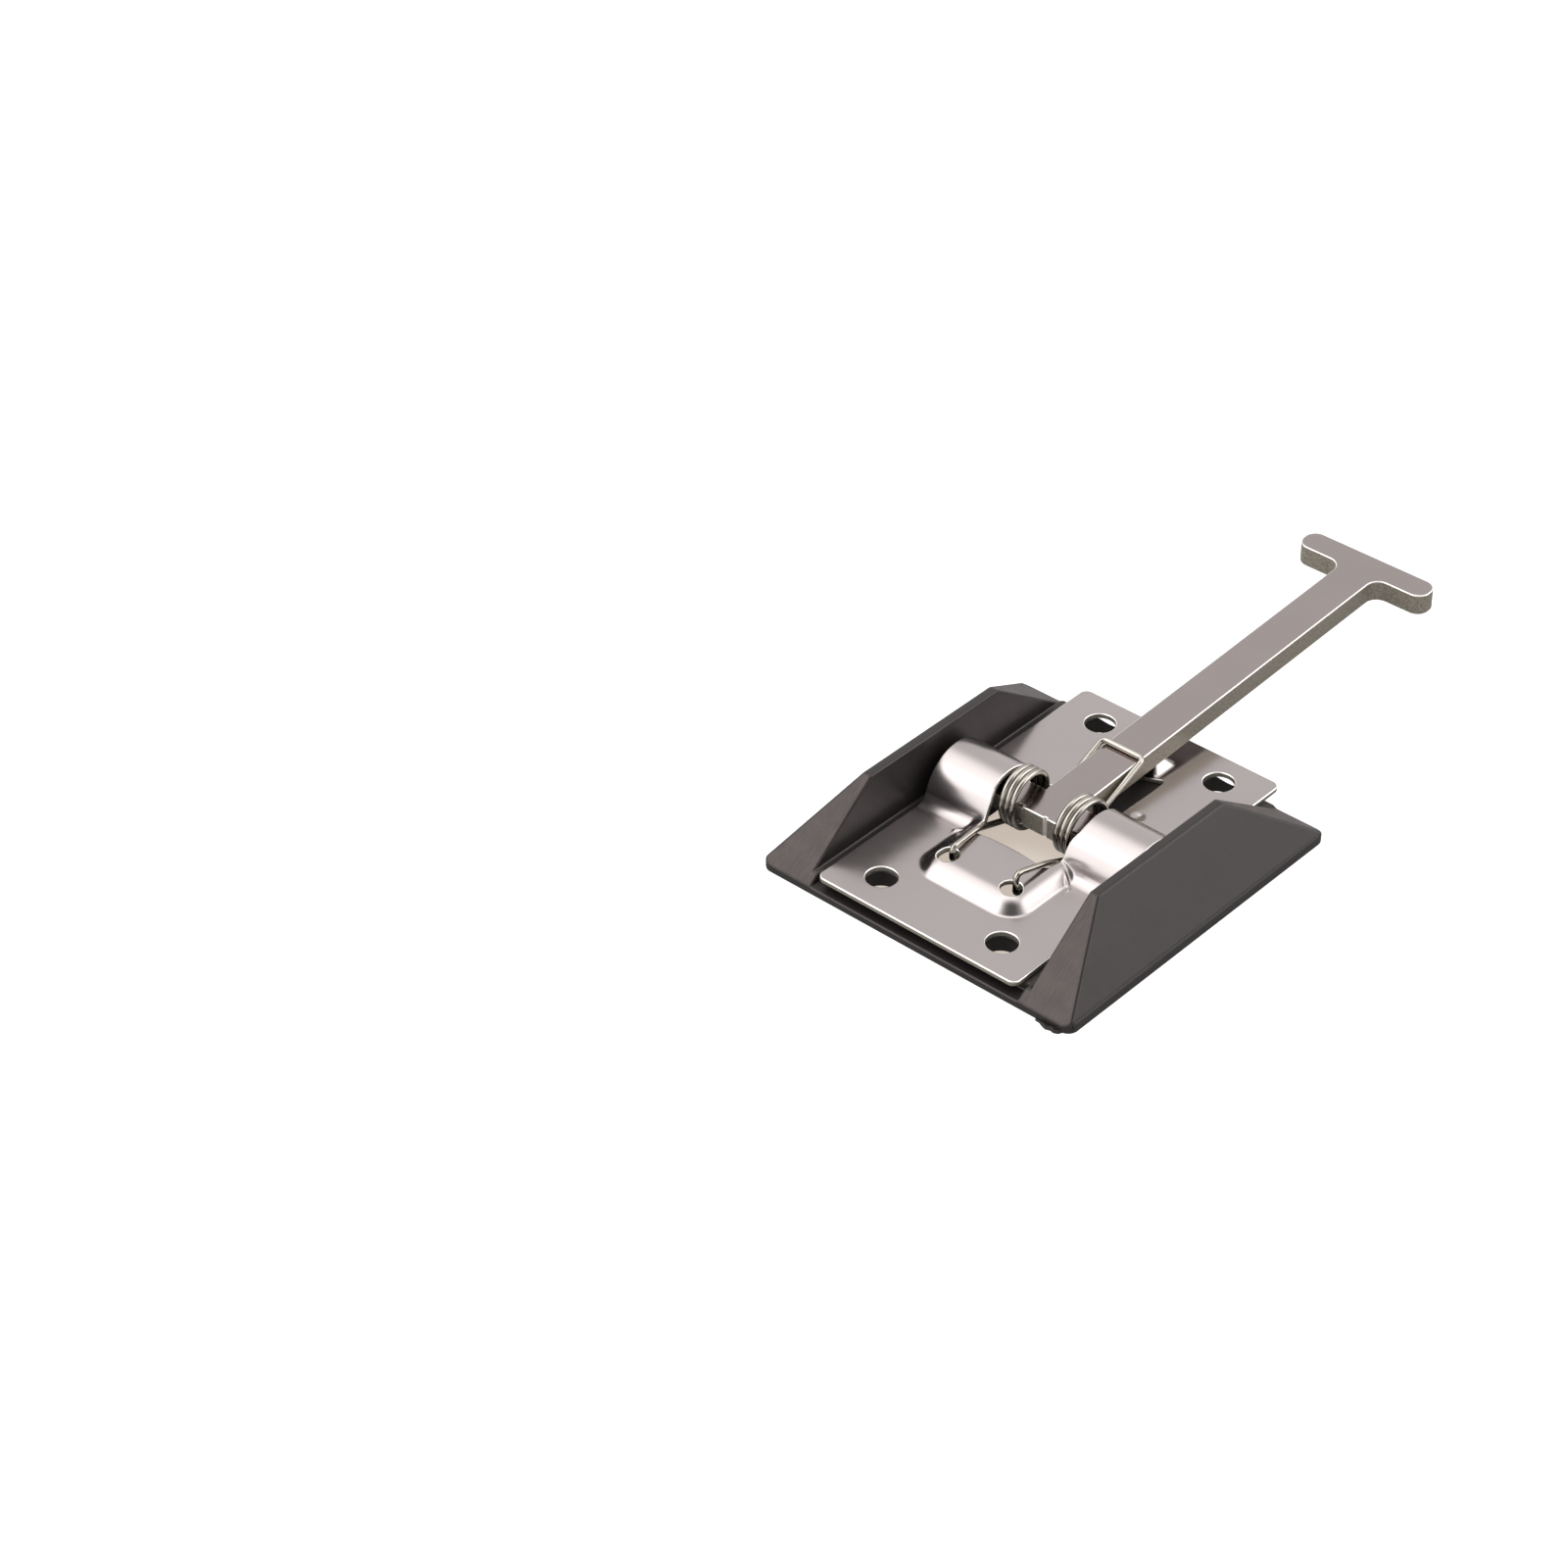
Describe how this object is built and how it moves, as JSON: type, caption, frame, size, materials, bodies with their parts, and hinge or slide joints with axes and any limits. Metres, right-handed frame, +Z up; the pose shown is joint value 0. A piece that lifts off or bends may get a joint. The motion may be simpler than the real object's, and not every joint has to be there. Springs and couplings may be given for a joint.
{
  "type": "door holder hook",
  "caption": "Sprung T-headed hook pivoting in a stamped knuckle plate that sits in a moulded surround, for holding a door open.",
  "frame": {"origin": "centre of the four screw holes, on the underside of the moulded base", "axes": "+Z up out of the mounting surface, +Y from the pivot towards the hook's head, +X along the pivot"},
  "size_m": [0.0694, 0.1359, 0.0156],
  "materials": {
    "plastic": "black moulded plastic, satin",
    "plate_steel": "polished stainless sheet",
    "bar_steel": "polished faces, rougher sheared sides",
    "spring_wire": "drawn spring wire"
  },
  "bodies": {
    "base": {"bezel": "plastic", "mounting_plate": "plate_steel", "torsion_spring": "spring_wire"},
    "hook": {"hook_arm": "bar_steel"}
  },
  "joints": [
    {"name": "hook_pivot", "type": "hinge", "parent": "base", "child": "hook", "pos_m": [0, -0.0004, 0.0076], "axis": [1, 0, 0], "range_deg": [0, 90], "stiffness_Nm_per_rad": 0.25, "springref_deg": -34.38, "deforming": ["torsion_spring"]}
  ]
}
